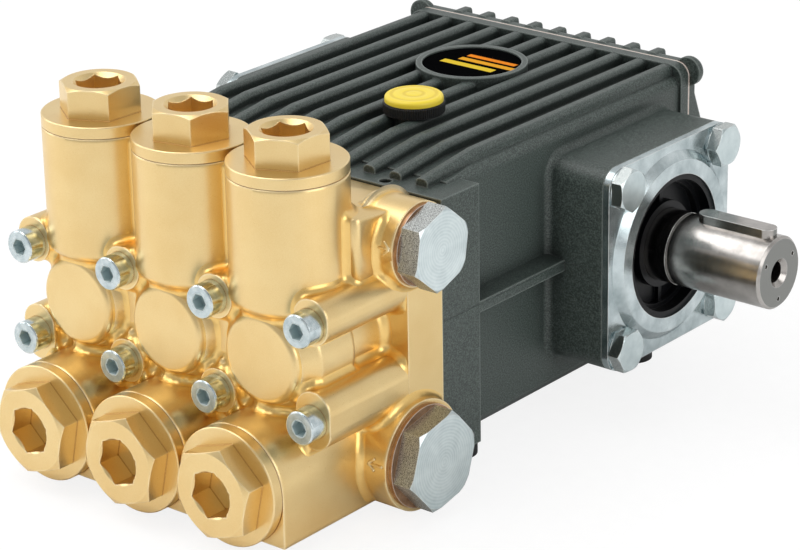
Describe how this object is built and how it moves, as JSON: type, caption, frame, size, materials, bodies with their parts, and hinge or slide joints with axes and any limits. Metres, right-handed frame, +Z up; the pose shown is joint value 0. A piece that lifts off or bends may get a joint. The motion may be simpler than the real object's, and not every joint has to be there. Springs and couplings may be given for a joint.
{
  "type": "high-pressure plunger pump",
  "caption": "High-pressure plunger pump: brass manifold with upright and level valve caps, bolted to a ribbed aluminium crankcase with a keyed drive shaft.",
  "frame": {"origin": "on the floor, in the middle of the four feet", "axes": "+X along the drive shaft to its free end, +Y from the manifold to the rear cover, +Z up"},
  "size_m": [0.2616, 0.2905, 0.1563],
  "materials": {
    "manifold": "satin machined brass",
    "outlet_valve_cap_1": "satin machined brass",
    "outlet_valve_cap_2": "satin machined brass",
    "outlet_valve_cap_3": "satin machined brass",
    "inlet_valve_cap_1": "satin machined brass",
    "inlet_valve_cap_2": "satin machined brass",
    "inlet_valve_cap_3": "satin machined brass",
    "head_screw_1": "bright zinc plated steel",
    "head_screw_2": "bright zinc plated steel",
    "head_screw_3": "bright zinc plated steel",
    "head_screw_4": "bright zinc plated steel",
    "head_screw_5": "bright zinc plated steel",
    "head_screw_6": "bright zinc plated steel",
    "head_screw_7": "bright zinc plated steel",
    "head_screw_8": "bright zinc plated steel",
    "outlet_plug": "bright zinc plated steel",
    "outlet_plug_washer": "soft copper sealing washer",
    "inlet_plug": "bright zinc plated steel",
    "inlet_plug_washer": "soft copper sealing washer",
    "crankcase": "dark green-grey paint on cast aluminium",
    "rear_gasket": "thin pale gasket sheet",
    "rear_cover": "dark green-grey paint on cast aluminium",
    "rear_cover_screws": "bright zinc plated steel",
    "drive_bearing_cover": "bright zinc plated steel",
    "closed_bearing_cover": "bright zinc plated steel",
    "drive_cover_bolts": "bright zinc plated steel",
    "drive_cover_washers": "bright zinc plated steel",
    "closed_cover_bolts": "bright zinc plated steel",
    "closed_cover_washers": "bright zinc plated steel",
    "shaft_seal": "moulded black plastic and rubber",
    "crankshaft": "ground steel",
    "shaft_key": "ground steel",
    "oil_filler_plug": "moulded black plastic and rubber",
    "oil_filler_cap": "bright yellow plastic",
    "label_disc": "black printed foil",
    "feet": "black rubber"
  },
  "bodies": {
    "pump": {"manifold": "manifold", "outlet_valve_cap_1": "outlet_valve_cap_1", "outlet_valve_cap_2": "outlet_valve_cap_2", "outlet_valve_cap_3": "outlet_valve_cap_3", "inlet_valve_cap_1": "inlet_valve_cap_1", "inlet_valve_cap_2": "inlet_valve_cap_2", "inlet_valve_cap_3": "inlet_valve_cap_3", "head_screw_1": "head_screw_1", "head_screw_2": "head_screw_2", "head_screw_3": "head_screw_3", "head_screw_4": "head_screw_4", "head_screw_5": "head_screw_5", "head_screw_6": "head_screw_6", "head_screw_7": "head_screw_7", "head_screw_8": "head_screw_8", "outlet_plug": "outlet_plug", "outlet_plug_washer": "outlet_plug_washer", "inlet_plug": "inlet_plug", "inlet_plug_washer": "inlet_plug_washer", "crankcase": "crankcase", "rear_gasket": "rear_gasket", "rear_cover": "rear_cover", "rear_cover_screws": "rear_cover_screws", "drive_bearing_cover": "drive_bearing_cover", "closed_bearing_cover": "closed_bearing_cover", "drive_cover_bolts": "drive_cover_bolts", "drive_cover_washers": "drive_cover_washers", "closed_cover_bolts": "closed_cover_bolts", "closed_cover_washers": "closed_cover_washers", "shaft_seal": "shaft_seal", "oil_filler_plug": "oil_filler_plug", "oil_filler_cap": "oil_filler_cap", "label_disc": "label_disc", "feet": "feet"},
    "shaft": {"crankshaft": "crankshaft", "shaft_key": "shaft_key"}
  },
  "joints": [
    {"name": "shaft_spin", "type": "hinge", "parent": "pump", "child": "shaft", "pos_m": [0.12, 0.0286, 0.0704], "axis": [1, 0, 0], "continuous": true}
  ]
}
